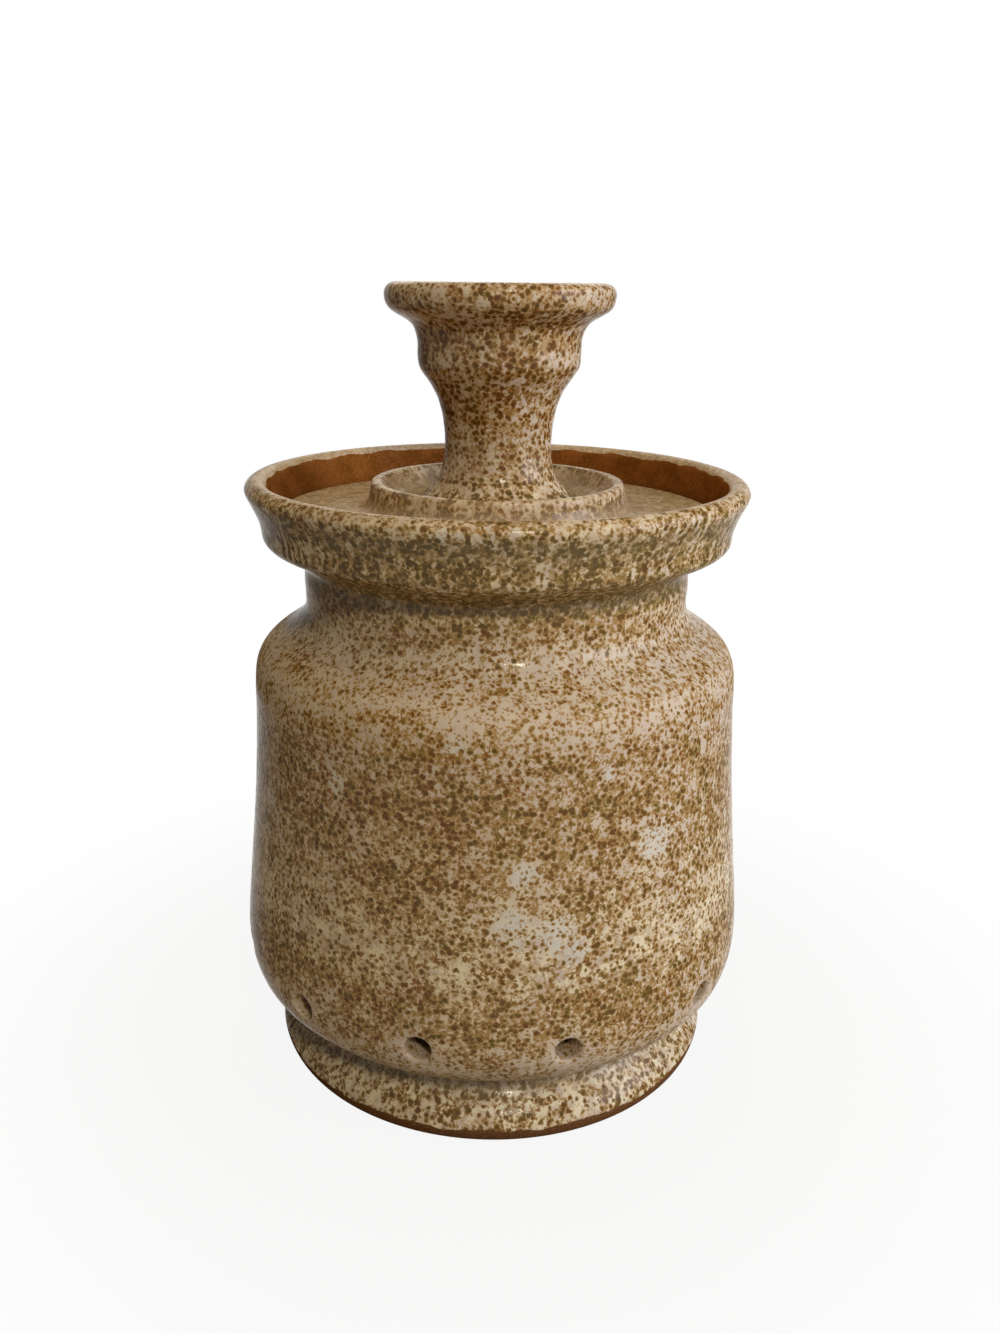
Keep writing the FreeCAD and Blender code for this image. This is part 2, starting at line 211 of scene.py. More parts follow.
# One end of a vent: a block of faces is cut out, and rings of vertices are drawn in round the bore.
def openVent(centre, angle, rings, fromInside):
    out = outward(angle)
    along = Vector((-out.y, out.x, 0))
    block = {vertex for face in centre.link_faces for vertex in face.verts}
    before = {edge for edge in wall.edges if edge.is_boundary}
    bmesh.ops.delete(wall, geom=list(block), context="VERTS")
    rim = [edge for edge in wall.edges if edge.is_boundary and edge not in before]
    for radius, depth in rings:
        drawn = bmesh.ops.extrude_edge_only(wall, edges=rim)["geom"]
        rim = [item for item in drawn if isinstance(item, bmesh.types.BMEdge)]
        for vertex in [item for item in drawn if isinstance(item, bmesh.types.BMVert)]:
            spoke = vertex.co - ventMiddle
            turn = round(math.atan2(spoke.z, spoke.dot(along)) / sixteenth) * sixteenth
            spot = ventMiddle + (along * math.cos(turn) + Vector((0, 0, math.sin(turn)))) * radius * mm
            if fromInside:
                skin = unpierced.ray_cast(spot, out)[0]
                vertex.co = skin + out * depth * mm
            else:
                skin = unpierced.ray_cast(spot + out * farOut, -out)[0]
                vertex.co = skin - out * depth * mm
    return rim


# The two vertices on a vent's axis are those that lie level with it and straight outward.
for angle in vents:
    nearby = [vertex for vertex in wall.verts
              if abs(vertex.co.z / mm - jar["ventHeight"]) < 0.1
              and vertex.co.xy.normalized().dot(outward(angle).xy) > 0.99999]
    nearby.sort(key=lambda vertex: vertex.co.xy.length)
    bore, lip = jar["ventBore"] * jar["ventSwell"], jar["ventLip"]
    innerRings = [(bore + beyond, depth) for beyond, depth in jar["innerRings"]]
    outerRings = [(bore + beyond * lip, depth * lip) for beyond, depth in jar["outerRings"]]
    inner = openVent(nearby[0], angle, innerRings, True)
    outer = openVent(nearby[-1], angle, outerRings, False)
    bmesh.ops.bridge_loops(wall, edges=inner + outer)
bmesh.ops.recalc_face_normals(wall, faces=wall.faces)

# Each point keeps how near it is to a vent, for the pale glaze round them.
halo = wall.verts.layers.float.new("ventHalo")
for vertex in wall.verts:
    gaps = [(vertex.co - outward(angle) * jar["haloFace"] * mm - ventMiddle).length for angle in vents]
    past = max(0, min(gaps) / mm - jar["haloStart"])
    vertex[halo] = max(0, 1 - past / jar["haloReach"])


# The seat and the foot stay true, so that the lid drops in and the jar stands.
def jarCalm(radius, height):
    onSeat = radius < jar["seatRadius"] and height > jar["seatHeight"]
    return (jar["seatShare"] if onSeat else 1) * min(1, height / jar["footHeight"])


handle(wall, jar, jarCalm)
thrownJar = finishPiece("thrownJar", wall, "jar", "jar")
print("jar: pierced and handled")

# The lid, from the middle of its underside round the edge to the middle of the top.
lid = {
    "under": [(0, 143.3), (28.3, 143.3)],
    "foot": [(28.3, 143.3), (30.0, 141.6), (54.0, 141.6)],
    "edge": [(54.0, 141.6), (55.2, 141.6), (55.2, 142.8), (55.2, 144.4), (55.2, 145.6), (54.0, 145.6)],
    "land": [(54.0, 145.6), (36.7, 145.6)],
    "ring": [(36.7, 145.6), (33.5, 145.6), (31.9, 149.3), (31.9, 153.0), (30.4, 153.0), (28.9, 153.0),
             (28.1, 150.5), (25.7, 148.0), (22.5, 148.0)],
    "trough": [(22.5, 148.0), (0, 148.0)],
    "columns": 120,
    "redness": 0.22,
    "wander": 0.12,
    "spiral": 0.04,
    "spiralPitch": 3.5,
}

section = drawSection("lidSection", [
    (lid["under"], 2, 6), (lid["foot"], 2, 5), (lid["edge"], 4, 3), (lid["land"], 2, 7),
    (lid["ring"], 4, 4), (lid["trough"], 2, 6)])
closeSection(section)
turnSection(section, [0, 360], lid["columns"])
handle(section, lid, noCalm)
droppedLid = finishPiece("droppedLid", section, "lid", "lid")
print("lid: turned")

# The knob, from the middle of its foot up the stem and down into the cup.
knob = {
    "foot": [(0, 148.0), (22.0, 148.0)],
    "stem": [(22.0, 148.0), (19.8, 148.5), (17.0, 150.5), (14.3, 154.0), (13.0, 160.0), (13.4, 167.0),
             (14.5, 172.5), (16.9, 177.0), (20.1, 180.5), (19.7, 184.5), (20.0, 188.5), (21.6, 191.3),
             (27.4, 193.6), (27.8, 196.7), (27.8, 198.9), (26.0, 200.0), (24.2, 200.0)],
    "cup": [(24.2, 200.0), (22.4, 200.0), (20.6, 196.5), (16.4, 192.1), (8.2, 189.5), (0, 189.5)],
    "columns": 96,
    "redness": 0.20,
    "wander": 0.18,
    "spiral": 0.05,
    "spiralPitch": 4.2,
}

section = drawSection("knobSection", [
    (knob["foot"], 2, 5), (knob["stem"], 4, 4), (knob["cup"], 4, 5)])
closeSection(section)
turnSection(section, [0, 360], knob["columns"])
handle(section, knob, noCalm)
cuppedKnob = finishPiece("cuppedKnob", section, "lid", "knob")
print("knob: turned")

# The glaze and the bare clay. Sizes are in millimetres.
glaze = {
    "cream": (0.69, 0.533, 0.352, 1),
    "pink": (0.635, 0.505, 0.395, 1),
    "ochre": (0.455, 0.27, 0.088, 1),
    "olive": (0.20, 0.132, 0.02, 1),
    "brown": (0.25, 0.108, 0.018, 1),
    "rust": (0.28, 0.09, 0.02, 1),
    "core": (0.08, 0.036, 0.006, 1),
    "milk": (0.86, 0.73, 0.49, 1),
    "cloud": (0.70, 0.65, 0.56, 1),
    # a soft grey-olive, for pooled glaze and for painted shade on the neck under the gallery
    "poolAndShade": (0.25, 0.21, 0.125, 1),
    "thin": (0.64, 0.465, 0.305, 1),
    # how thickly the specks lie, from 0 to 1, at heights from the foot to the cup; the peak at 134 on the
    # neck under the gallery is partly real dense specks and partly painted shade, and the rise at 188 under
    # the knob's cup is painted shade
    "bands": [(0, 0.46), (9, 0.46), (13, 0.50), (20, 0.40), (26, 0.34), (36, 0.51), (44, 0.54),
              (52, 0.39), (62, 0.41), (72, 0.43), (82, 0.51), (90, 0.52), (98, 0.48), (105, 0.41),
              (111, 0.29), (122, 0.34), (129, 0.52), (134, 0.86), (139, 0.64), (143, 0.58), (149, 0.74),
              (151.5, 0.46), (159, 0.45), (168, 0.48), (178, 0.51), (188, 0.55), (196, 0.46), (200, 0.49)],
    # at the same heights: how milky and how pink the ground is, how green the specks are, and how much soft
    # grey-olive colour lies over them: glaze pooled in the groove above the foot and under the lip, and
    # painted shade on the neck under the gallery
    "milky": [(0, 1.0), (10, 1.0), (15, 0.25), (34, 0.25), (44, 0.38), (52, 0.95), (62, 0.65), (72, 0.35),
              (84, 0.15), (104, 0.10), (112, 0.20), (120, 0.35), (126, 0.45), (140, 0.50), (150, 0.75),
              (156, 0.25), (182, 0.20), (200, 0.20)],
    "rosy": [(0, 0), (10, 0), (15, 0.5), (28, 0.4), (40, 0), (66, 0), (84, 0.6), (100, 0.8), (118, 0.7),
             (126, 0.1), (152, 0), (157, 0.5), (200, 0.5)],
    "green": [(0, 0.15), (20, 0.1), (30, 0.05), (52, 0.15), (76, 0.12), (96, 0), (126, 0), (132, 0.5),
              (149, 0.55), (153, 0.15), (160, 0)],
    "pooledAndShade": [(0, 0), (9, 0), (12, 0.55), (14, 0.75), (19, 0.65), (24, 0.3), (29, 0.05), (32, 0),
               (128, 0), (133, 0.35), (138, 0.2), (142, 0), (149, 0.3), (151, 0), (200, 0)],
    # how dry the glaze lies on the crown of the shoulder
    "dry": [(0, 0), (99, 0), (105, 0.6), (114, 0.6), (117.5, 0), (200, 0)],
    # where the glaze ran and drew the specks out, between these heights, and how far it did elsewhere
    "runs": [(0, 16), (137, 150), (148, 152.5)],
    "leastRun": 0.15,
    # pale clouds on the front of the jar: angle, height, size; the radius of the wall they lie on
    "clouds": [(6, 76, 3.8), (4, 63, 6.0), (13, 61, 6.0), (17, 56, 4.5), (36, 79, 6.5), (24, 98, 3.5),
               (-8, 106, 3.5), (-34, 92, 4.0), (-9, 150, 4.5), (-2, 149, 4.0), (-60, 80, 4.0)],
    "cloudRadius": 64,
    "cloudFade": (1.5, 0.3),  # in shares of a cloud's size
    "cloudWisp": (2.2, 3, 0.6),
    "cloudEdge": (0.12, 0.6),
    "cloudCover": 0.85,
    # how much thinner the specks lie in a cloud and round a vent, and how pink the glaze is there
    "cloudClear": 0.3,
    "haloClear": 0.27,
    "haloPink": 0.6,
    # patches of soft noise: size, detail, the span of the noise that is read, and what it becomes
    "drift": (17, 3, 0.3, 0.7, -0.09, 0.09),
    "clump": (4.0, 1, 0.3, 0.7, -0.08, 0.08),
    "bare": (3.6, 1, 0.62, 0.72, 0, 0.30),
    "streak": (1.7, 2, 0.3, 0.7, -0.3, 0.3),
    "threadPatch": (4.5, 2, 0.42, 0.60),
    "fleck": (1.0, 2, 0.52, 0.66, 0, 0.75),
    "pinkPatch": (14, 3, 0.35, 0.65),
    "milkPatch": (3.4, 3, 0.39, 0.59),
    "ochrePatch": (2.4, 2, 0.45, 0.70, 0, 0.7),
    "poolAndShadePatch": (6, 3, 0.3, 0.6, 0.4, 1),
    "thinPatch": (5, 3, 0.3, 0.7, 0.35, 0.7),
    "gloss": (3, 2, 0.3, 0.7, 0.11, 0.23),
    # the specks: how far apart, how far they are pushed about, how soft where they meet, how far they
    # reach where they lie thinly and thickly, how that varies from one to the next, and their soft edge
    "speckGap": 1.33,
    "push": 1.2,
    "pushScale": 0.85,
    "speckMelt": 0.15,
    "speckReach": (0.26, 0.86),
    "speckSpread": (0.74, 1.14),
    "speckEdge": (-0.24, 0.38),
    # the dark core of a speck, and the ochre rim and the full colour outside it
    "coreEdge": (0.08, 0.42),
    "coreShare": 0.66,
    "rimEdge": (0.0, 0.5),
    "toneEdge": (0.25, 0.8),
    # fine grains and small dots between them, and the share of a full speck's depth that they have
    "grainGap": 1.15,
    "grainLean": (-0.14, 0.1),
    "grainEdge": (0.46, 0.62),
    "grainShare": 0.5,
    "dotGap": 1.0,
    "dotReach": (0.2, 0.55),
    "dotEdge": (-0.18, 0.18),
    "dotShare": 0.65,
    # threads join the specks, and pale flecks break them where they lie thickly
    "threadGap": 2.2,
    "threadEdge": (0.06, 0.01),
    "threadThick": (0.2, 0.5, 0, 0.9),
    "fleckThick": (0.5, 0.75),
    # grains and dots are weaker where the ground is milky, and on the redder pieces
    "milkyFaint": (0.4, 1, 1, 0.55),
    "redFaint": 1.6,
    # on the redder pieces the cores are also wider and darker
    "coreWiden": 0.2,
    "coreDarken": 0.3,
    # how the hue of a speck leans: to olive at the low end, then brown, then rust, and some are ochre
    "hueShare": 0.85,
    "leanPatch": (9, 2, 0.3, 0.7),
    "leanSway": 0.2,
    "brownLean": (0.0, 0.6),
    "rustLean": (0.70, 1.05),
    "ochreHue": (0.35, 0.95),
    "ochreShare": 0.55,
    "stainThick": (0.2, 0.7),
    # drifts, pools and the painted shade on the neck lie in flat, slightly tilted layers, and streaks are
    # drawn out upright
    "layerSquash": (1, 1, 3.2),
    "layerTilt": (0, 0.12, 0),
    "streakDraw": (1, 1, 0.18),
    # where the glaze lies thin: inside the lip of the jar, on the flat of the lid and in its trough
    "lipRadii": (61.0, 58.8),
    "lipHeights": (150, 152, 0, 0.6),
    "landHeights": (151, 147, 0.35, 1),
    "troughRadii": (30.5, 29.5),
    "troughHeights": (153, 151.5),
    # the shine, from face on to a glancing angle, and the height of the relief in metres
    "sheen": (0.1, 0.6, 0.18, 0.01),
    "swellSize": 1.6,
    "speckRelief": 0.25,
    "relief": 0.00012,
}
clay = {
    "body": (0.32, 0.11, 0.024, 1),
    "dark": (0.22, 0.075, 0.012, 1),
    "foot": (0.17, 0.075, 0.03, 1),
    "sand": (0.42, 0.22, 0.09, 1),
    "pit": (0.10, 0.04, 0.012, 1),
    "bodyPatch": (7, 4, 0.35, 0.65),
    "footHeights": (8, 4),  # the foot's own colour comes in between these
    "grainSize": 0.55,
    "sandEdge": (0.56, 0.68, 0, 0.6),
    "pitEdge": (0.46, 0.34, 0, 0.8),
    "roughness": 0.85,
    "grainRelief": 2.5,
    # where the glaze ends: on the foot, under the rim, in the gallery and on the edge of the lid
    "footLine": (3.7, 0.7),
    "rimLine": (153.0, 0.4),
    "galleryRadii": (58.0, 57.7),
    "galleryHeights": (138.5, 139.5),
    "lidLine": (144.6, 0.3),
    "linePatch": (9, 3, 0.25, 0.75),
    "lineEdge": 0.15,
    "knobLine": (148.1, 148.0),
}


def addNode(tree, kind, inputs, **settings):
    made = tree.nodes.new("ShaderNode" + kind)
    for setting, value in settings.items():
        setattr(made, setting, value)
    for socket, value in inputs.items():
        if isinstance(value, bpy.types.NodeSocket):
            tree.links.new(value, made.inputs[socket])
        else:
            made.inputs[socket].default_value = value
    return made


def compute(tree, operation, first, second=0.0):
    return addNode(tree, "Math", {0: first, 1: second}, operation=operation).outputs[0]


def ramp(tree, value, low, high, toLow=0.0, toHigh=1.0):
    return addNode(tree, "MapRange", {"Value": value, "From Min": low, "From Max": high,
                                      "To Min": toLow, "To Max": toHigh},
                   interpolation_type="SMOOTHSTEP").outputs[0]


def blend(tree, share, first, second):
    return addNode(tree, "Mix", {0: share, 6: first, 7: second}, data_type="RGBA").outputs[2]


def cloudNoise(tree, place, size, detail, rough=0.5):
    return addNode(tree, "TexNoise", {"Vector": place, "Scale": 1 / size, "Detail": detail,
                                      "Roughness": rough}).outputs["Fac"]


def patches(tree, place, size, detail, low, high, toLow=0.0, toHigh=1.0):
    return ramp(tree, cloudNoise(tree, place, size, detail), low, high, toLow, toHigh)


potHeight = 200  # over the knob


# An amount that changes with height, from pairs of height and amount.
def byHeight(tree, height, amounts):
    made = addNode(tree, "ValToRGB", {"Fac": compute(tree, "DIVIDE", height, potHeight)})
    stops = made.color_ramp.elements
    for level, amount in amounts[2:]:
        stops.new(level / potHeight)
    for stop, (level, amount) in zip(stops, amounts):
        stop.position = level / potHeight
        stop.color = (amount, amount, amount, 1)
    return made.outputs[0]


# Pale clouds on the front of the jar, frayed at their edges.
def paleClouds(tree, place):
    cloud = 0.0
    outer, inner = glaze["cloudFade"]
    for angle, level, size in glaze["clouds"]:
        spot = outward(angle) * glaze["cloudRadius"] + Vector((0, 0, level))
        gap = addNode(tree, "VectorMath", {0: place, 1: spot}, operation="DISTANCE").outputs["Value"]
        cloud = compute(tree, "MAXIMUM", cloud, ramp(tree, gap, size * outer, size * inner))
    wisps = cloudNoise(tree, place, *glaze["cloudWisp"])
    return ramp(tree, compute(tree, "MULTIPLY", cloud, wisps), *glaze["cloudEdge"])


# How thickly the specks lie: bands, drifts, clumps, bare patches and streaks where the glaze ran.
def speckDensity(tree, place, layers, height, halo, cloud):
    # the bands carry painted shade: thicker specks on the neck under the gallery and under the knob's cup
    density = compute(tree, "ADD", byHeight(tree, height, glaze["bands"]),
                      patches(tree, layers, *glaze["drift"]))
    density = compute(tree, "ADD", density, patches(tree, place, *glaze["clump"]))
    density = compute(tree, "SUBTRACT", density, patches(tree, place, *glaze["bare"]))
    run = glaze["leastRun"]
    for low, high in glaze["runs"]:
        zone = compute(tree, "MULTIPLY", ramp(tree, height, low - 1, low + 1),
                       ramp(tree, height, high + 1, high - 1))
        run = compute(tree, "MAXIMUM", run, zone)
    upright = addNode(tree, "Mapping", {"Vector": place, "Scale": glaze["streakDraw"]}).outputs[0]
    streak = compute(tree, "MULTIPLY", patches(tree, upright, *glaze["streak"]), run)
    density = compute(tree, "ADD", density, streak)
    density = compute(tree, "SUBTRACT", density, compute(tree, "MULTIPLY", halo, glaze["haloClear"]))
    return compute(tree, "SUBTRACT", density, compute(tree, "MULTIPLY", cloud, glaze["cloudClear"]))


# The specks and what lies between them, as the depth of colour, with the hue and the core of each speck.
def laySpecks(tree, place, density, small, redness):
    push = addNode(tree, "TexNoise", {"Vector": place, "Scale": glaze["pushScale"], "Detail": 1.0})
    push = addNode(tree, "VectorMath", {0: push.outputs["Color"], 1: (0.5, 0.5, 0.5)},
                   operation="SUBTRACT").outputs[0]
    pushed = addNode(tree, "VectorMath", {0: push, 1: [glaze["push"]] * 3, 2: place},
                     operation="MULTIPLY_ADD").outputs[0]
    cells = addNode(tree, "TexVoronoi", {"Vector": pushed, "Scale": 1 / glaze["speckGap"],
                                         "Smoothness": glaze["speckMelt"]}, feature="SMOOTH_F1")
    hue = addNode(tree, "SeparateColor", {"Color": cells.outputs["Color"]}).outputs
    reach = compute(tree, "MULTIPLY", ramp(tree, density, 0, 1, *glaze["speckReach"]),
                    ramp(tree, hue[2], 0, 1, *glaze["speckSpread"]))
    inside = compute(tree, "SUBTRACT", reach, cells.outputs["Distance"])
    speck = ramp(tree, inside, *glaze["speckEdge"])

    grain = compute(tree, "ADD", cloudNoise(tree, place, glaze["grainGap"], 1.0),
                    ramp(tree, density, 0, 1, *glaze["grainLean"]))
    grain = ramp(tree, grain, *glaze["grainEdge"], 0, glaze["grainShare"])
    depth = compute(tree, "MAXIMUM", speck, compute(tree, "MULTIPLY", grain, small))
    dots = addNode(tree, "TexVoronoi", {"Vector": pushed, "Scale": 1 / glaze["dotGap"]})
    dot = compute(tree, "SUBTRACT", ramp(tree, density, 0, 1, *glaze["dotReach"]), dots.outputs["Distance"])
    dot = ramp(tree, dot, *glaze["dotEdge"], 0, glaze["dotShare"])
    depth = compute(tree, "MAXIMUM", depth, compute(tree, "MULTIPLY", dot, small))

    middle = compute(tree, "SUBTRACT", cloudNoise(tree, place, glaze["threadGap"], 1.0), 0.5)
    thread = ramp(tree, compute(tree, "ABSOLUTE", middle), *glaze["threadEdge"])
    thread = compute(tree, "MULTIPLY", thread, patches(tree, place, *glaze["threadPatch"]))
    thread = compute(tree, "MULTIPLY", thread, ramp(tree, density, *glaze["threadThick"]))
    depth = compute(tree, "MAXIMUM", depth, thread)
    flecks = compute(tree, "MULTIPLY", patches(tree, place, *glaze["fleck"]),
                     ramp(tree, density, *glaze["fleckThick"]))
    unbroken = compute(tree, "SUBTRACT", 1.0, flecks)
    depth = compute(tree, "MULTIPLY", depth, unbroken)

    coreLow, coreHigh = (edge - glaze["coreWiden"] * redness for edge in glaze["coreEdge"])
    core = ramp(tree, inside, coreLow, coreHigh, 0, glaze["coreShare"] + glaze["coreDarken"] * redness)
    return speck, depth, hue, compute(tree, "MULTIPLY", core, unbroken)


# The ground: cream and pink, with milky patches, pale clouds and an ochre stain where specks lie thickly.
def groundColour(tree, place, height, density, halo, cloud, milky):
    ground = blend(tree, patches(tree, place, *glaze["pinkPatch"]), glaze["cream"], glaze["pink"])
    rosy = compute(tree, "MAXIMUM", compute(tree, "MULTIPLY", halo, glaze["haloPink"]),
                   byHeight(tree, height, glaze["rosy"]))
    ground = blend(tree, rosy, ground, glaze["pink"])
    milk = compute(tree, "MULTIPLY", patches(tree, place, *glaze["milkPatch"]), milky)
    milk = compute(tree, "MULTIPLY", milk, compute(tree, "SUBTRACT", 1.0, halo))
    ground = blend(tree, milk, ground, glaze["milk"])
    ground = blend(tree, compute(tree, "MULTIPLY", cloud, glaze["cloudCover"]), ground, glaze["cloud"])
    stain = compute(tree, "MULTIPLY", patches(tree, place, *glaze["ochrePatch"]),
                    ramp(tree, density, *glaze["stainThick"]))
    return blend(tree, stain, ground, glaze["ochre"])


# Each speck is olive, brown or rust, and some are as pale as ochre.
def speckColour(tree, place, height, hue, redness, faint):
    sway = glaze["leanSway"]
    lean = compute(tree, "ADD", compute(tree, "MULTIPLY", hue[0], glaze["hueShare"]),
                   patches(tree, place, *glaze["leanPatch"], redness - sway, redness + sway))
    lean = compute(tree, "SUBTRACT", lean, byHeight(tree, height, glaze["green"]))
    tone = blend(tree, ramp(tree, lean, *glaze["brownLean"]), glaze["olive"], glaze["brown"])
    tone = blend(tree, ramp(tree, lean, *glaze["rustLean"]), tone, glaze["rust"])
    pale = ramp(tree, hue[1], *glaze["ochreHue"], 0, glaze["ochreShare"] * faint)
    return blend(tree, pale, tone, glaze["ochre"])


def clayColour(tree, place, height, grain):
    colour = blend(tree, patches(tree, place, *clay["bodyPatch"]), clay["body"], clay["dark"])
    colour = blend(tree, ramp(tree, height, *clay["footHeights"]), colour, clay["foot"])
    colour = blend(tree, ramp(tree, grain, *clay["sandEdge"]), colour, clay["sand"])
    return blend(tree, ramp(tree, grain, *clay["pitEdge"]), colour, clay["pit"])


# clayZone and thinZone get the tree, the place, the radius and the height in millimetres. They give
# where the clay is bare and where the glaze lies thin. redness, from 0, makes specks rust and dark.
def makeGlaze(name, clayZone, thinZone, redness):
    material = bpy.data.materials.new(name)
    material.use_nodes = True
    tree = material.node_tree
    shader = tree.nodes["Principled BSDF"]
    objectPlace = addNode(tree, "TexCoord", {}).outputs["Object"]
    place = addNode(tree, "Mapping", {"Vector": objectPlace, "Scale": (1000, 1000, 1000)}).outputs[0]
    height = addNode(tree, "SeparateXYZ", {"Vector": place}).outputs["Z"]
    flat = addNode(tree, "VectorMath", {0: place, 1: (1, 1, 0)}, operation="MULTIPLY").outputs[0]
    radius = addNode(tree, "VectorMath", {0: flat}, operation="LENGTH").outputs["Value"]
    layers = addNode(tree, "Mapping", {"Vector": place, "Scale": glaze["layerSquash"],
                                       "Rotation": glaze["layerTilt"]}).outputs[0]

    halo = addNode(tree, "Attribute", {}, attribute_name="ventHalo").outputs["Fac"]
    cloud = paleClouds(tree, place)
    density = speckDensity(tree, place, layers, height, halo, cloud)
    milky = byHeight(tree, height, glaze["milky"])
    faint = 1 - glaze["redFaint"] * redness
    small = compute(tree, "MULTIPLY", ramp(tree, milky, *glaze["milkyFaint"]), faint)
    speck, depth, hue, core = laySpecks(tree, place, density, small, redness)

    ground = groundColour(tree, place, height, density, halo, cloud, milky)
    tone = speckColour(tree, place, height, hue, redness, faint)
    colour = blend(tree, ramp(tree, depth, *glaze["rimEdge"]), ground, glaze["ochre"])
    colour = blend(tree, ramp(tree, depth, *glaze["toneEdge"]), colour, tone)
    colour = blend(tree, core, colour, glaze["core"])
    # pooled glaze in the groove and under the lip, and painted shade on the neck under the gallery
    poolAndShade = compute(tree, "MULTIPLY", byHeight(tree, height, glaze["pooledAndShade"]),
                   patches(tree, layers, *glaze["poolAndShadePatch"]))
    colour = blend(tree, poolAndShade, colour, glaze["poolAndShade"])
    colour = blend(tree, thinZone(tree, place, radius, height), colour, glaze["thin"])

    bareClay = clayZone(tree, place, radius, height)
    grain = cloudNoise(tree, place, clay["grainSize"], 3, 0.7)
    colour = blend(tree, bareClay, colour, clayColour(tree, place, height, grain))
    tree.links.new(colour, shader.inputs["Base Color"])

    rough = patches(tree, place, *glaze["gloss"])
    rough = compute(tree, "MAXIMUM", rough, byHeight(tree, height, glaze["dry"]))
    rough = compute(tree, "MAXIMUM", rough, compute(tree, "MULTIPLY", bareClay, clay["roughness"]))
    tree.links.new(rough, shader.inputs["Roughness"])
    # the glaze shines least at a glancing angle, and the clay not at all
    facing = addNode(tree, "LayerWeight", {"Blend": 0.5}).outputs["Facing"]
    sheen = compute(tree, "MULTIPLY", ramp(tree, facing, *glaze["sheen"]),
                    compute(tree, "SUBTRACT", 1.0, bareClay))
    tree.links.new(sheen, shader.inputs["Specular IOR Level"])

    relief = compute(tree, "ADD", cloudNoise(tree, place, glaze["swellSize"], 2),
                     compute(tree, "MULTIPLY", speck, glaze["speckRelief"]))
    sandy = compute(tree, "MULTIPLY", compute(tree, "MULTIPLY", grain, bareClay), clay["grainRelief"])
    relief = compute(tree, "ADD", relief, sandy)
    bump = addNode(tree, "Bump", {"Height": relief, "Strength": 0.5, "Distance": glaze["relief"]})
    tree.links.new(bump.outputs[0], shader.inputs["Normal"])
    return material


# The clay below a level, where the brushed edge of the glaze sways up and down.
def wavyEdge(tree, place, height, level, sway):
    size, detail, low, high = clay["linePatch"]
    wave = patches(tree, place, size, detail, low, high, level - sway, level + sway)
    return ramp(tree, compute(tree, "SUBTRACT", wave, height), -clay["lineEdge"], clay["lineEdge"])


def jarClay(tree, place, radius, height):
    foot = wavyEdge(tree, place, height, *clay["footLine"])
    inGallery = compute(tree, "MULTIPLY", ramp(tree, radius, *clay["galleryRadii"]),
                        ramp(tree, height, *clay["galleryHeights"]))
    belowRim = wavyEdge(tree, place, height, *clay["rimLine"])
    return compute(tree, "MAXIMUM", foot, compute(tree, "MULTIPLY", inGallery, belowRim))


def lidClay(tree, place, radius, height):
    return wavyEdge(tree, place, height, *clay["lidLine"])


def knobClay(tree, place, radius, height):
    return ramp(tree, height, *clay["knobLine"])


# The glaze lies thin on the inner half of the lip of the jar, on the flat of the lid and in the trough
# inside its ring, and nowhere on the knob.
def jarThin(tree, place, radius, height):
    return compute(tree, "MULTIPLY", ramp(tree, radius, *glaze["lipRadii"]),
                   ramp(tree, height, *glaze["lipHeights"]))


def lidThin(tree, place, radius, height):
    onLand = ramp(tree, height, *glaze["landHeights"])
    inTrough = compute(tree, "MULTIPLY", ramp(tree, radius, *glaze["troughRadii"]),
                       ramp(tree, height, *glaze["troughHeights"]))
    return compute(tree, "MULTIPLY", compute(tree, "MAXIMUM", onLand, inTrough),
                   patches(tree, place, *glaze["thinPatch"]))


def knobThin(tree, place, radius, height):
    return 0.0


for piece, values, clayZone, thinZone in ((thrownJar, jar, jarClay, jarThin),
                                          (droppedLid, lid, lidClay, lidThin),
                                          (cuppedKnob, knob, knobClay, knobThin)):
    glazed = makeGlaze(piece.name + "Glaze", clayZone, thinZone, values["redness"])
    piece.data.materials.append(glazed)
print("materials: glaze and bare clay")

# The floor, the light and the camera.
studio = {
    "floorSize": 3.0,
    "floorShade": (0.55, 0.50, 0.43, 1),
    # the soft shadow on the white floor: from full at the near distance to none at the far one
    "shadowReach": (0.07, 0.20),
    "shadowWhite": 0.9,
    "ambient": 0.01,
    "ambientTint": (1, 0.93, 0.80, 1),
    "aim": (0, 0, 0.1),  # the middle of the pot, which every lamp faces
    # each lamp: angle from the front, rise, distance, size, power, colour
    "lamps": {
        "keyLamp": (68, 18, 1.0, 0.6, 4.6, (0.95, 1, 1.22)),
        "sideLamp": (92, 17, 1.0, 0.6, 2.0, (0.84, 1, 1.20)),
        "frontLamp": (13, 38, 1.0, 0.13, 2.75, (1.06, 1, 0.78)),
        "topLamp": (-20, 76, 0.9, 0.6, 1.5, (1.1, 0.88, 0.55)),
        "rearLamp": (183, 35, 1.0, 0.7, 2.7, (0.97, 1, 0.86)),
    },
    "eyePlace": (0, -0.28915, 0.200),
    "eyeTilt": math.radians(71.51),
    "eyeTurn": 0.012,
    "eyeLens": 31.058,
    "eyeShift": 0.00346,
}


# White to the camera and in reflections, while the lamps light the object at a plain level.
def seenDirectly(tree):
    ray = addNode(tree, "LightPath", {})
    seen = compute(tree, "MAXIMUM", ray.outputs["Is Camera Ray"], ray.outputs["Is Glossy Ray"])
    return compute(tree, "MAXIMUM", seen, ray.outputs["Is Transmission Ray"])


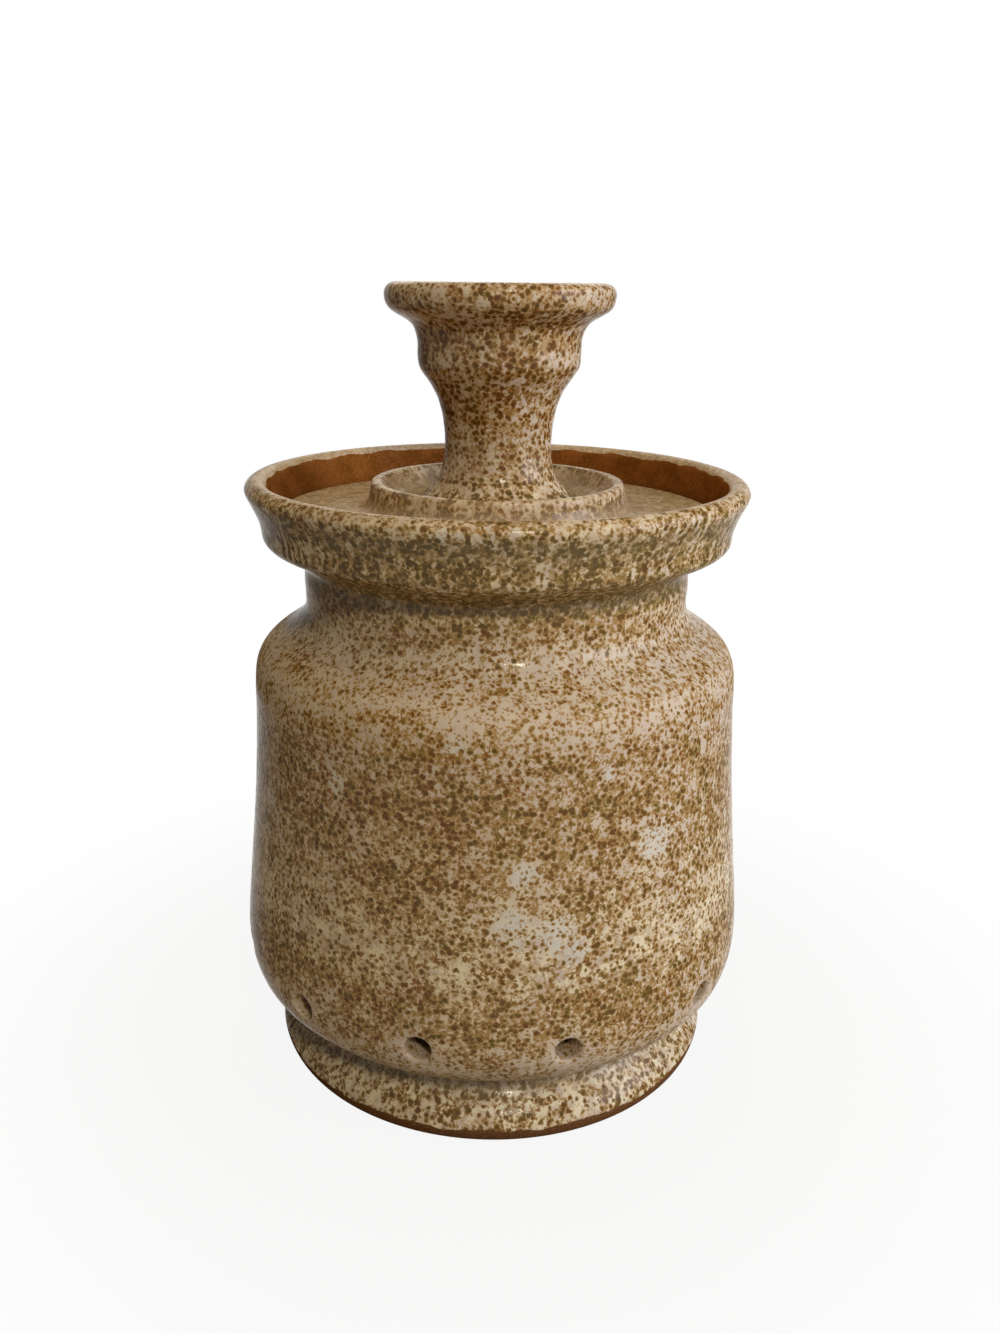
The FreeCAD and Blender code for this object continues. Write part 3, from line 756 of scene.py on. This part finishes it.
def layFloor():
    shape = bmesh.new()
    bmesh.ops.create_grid(shape, x_segments=1, y_segments=1, size=studio["floorSize"])
    mesh = bpy.data.meshes.new("floor")
    shape.to_mesh(mesh)
    shape.free()
    floor = bpy.data.objects.new("floor", mesh)
    bpy.context.scene.collection.objects.link(floor)

    material = bpy.data.materials.new("paleFloor")
    material.use_nodes = True
    tree = material.node_tree
    tree.nodes.remove(tree.nodes["Principled BSDF"])
    pale = addNode(tree, "BsdfDiffuse", {"Color": studio["floorShade"]})
    white = addNode(tree, "Emission", {"Color": (1, 1, 1, 1), "Strength": 1.0})
    place = addNode(tree, "TexCoord", {}).outputs["Object"]
    away = addNode(tree, "VectorMath", {0: place}, operation="LENGTH").outputs["Value"]
    whiteness = ramp(tree, away, *studio["shadowReach"], studio["shadowWhite"], 1.0)
    share = compute(tree, "MULTIPLY", seenDirectly(tree), whiteness)
    mixed = addNode(tree, "MixShader", {0: share, 1: pale.outputs[0], 2: white.outputs[0]})
    tree.links.new(mixed.outputs[0], tree.nodes["Material Output"].inputs["Surface"])
    mesh.materials.append(material)


def surround():
    world = bpy.data.worlds.new("paleRoom")
    bpy.context.scene.world = world
    world.use_nodes = True
    tree = world.node_tree
    back = tree.nodes["Background"]
    seen = seenDirectly(tree)
    tree.links.new(ramp(tree, seen, 0, 1, studio["ambient"], 1.0), back.inputs["Strength"])
    tree.links.new(blend(tree, seen, studio["ambientTint"], (1, 1, 1, 1)), back.inputs["Color"])


def hangLamp(name, angle, rise, distance, size, power, colour):
    light = bpy.data.lights.new(name, "AREA")
    light.shape = "DISK"
    light.size = size
    light.energy = power
    light.color = colour
    lamp = bpy.data.objects.new(name, light)
    bpy.context.scene.collection.objects.link(lamp)
    aim = Vector(studio["aim"])
    level = outward(angle) * math.cos(math.radians(rise))
    lamp.location = aim + (level + Vector((0, 0, math.sin(math.radians(rise))))) * distance
    lamp.rotation_euler = (aim - lamp.location).to_track_quat("-Z", "Y").to_euler()


layFloor()
surround()
for name, settings in studio["lamps"].items():
    hangLamp(name, *settings)

eye = bpy.data.cameras.new("eye")
eye.sensor_fit = "VERTICAL"
eye.sensor_height = 36
eye.lens = studio["eyeLens"]
eye.shift_x = studio["eyeShift"]
eye.clip_start = 0.01
camera = bpy.data.objects.new("eye", eye)
bpy.context.scene.collection.objects.link(camera)
turned = Matrix.Rotation(studio["eyeTilt"], 4, "X") @ Matrix.Rotation(studio["eyeTurn"], 4, "Z")
camera.matrix_world = Matrix.Translation(studio["eyePlace"]) @ turned
bpy.context.scene.camera = camera
bpy.context.scene.view_settings.view_transform = "Standard"
print("studio: lit")
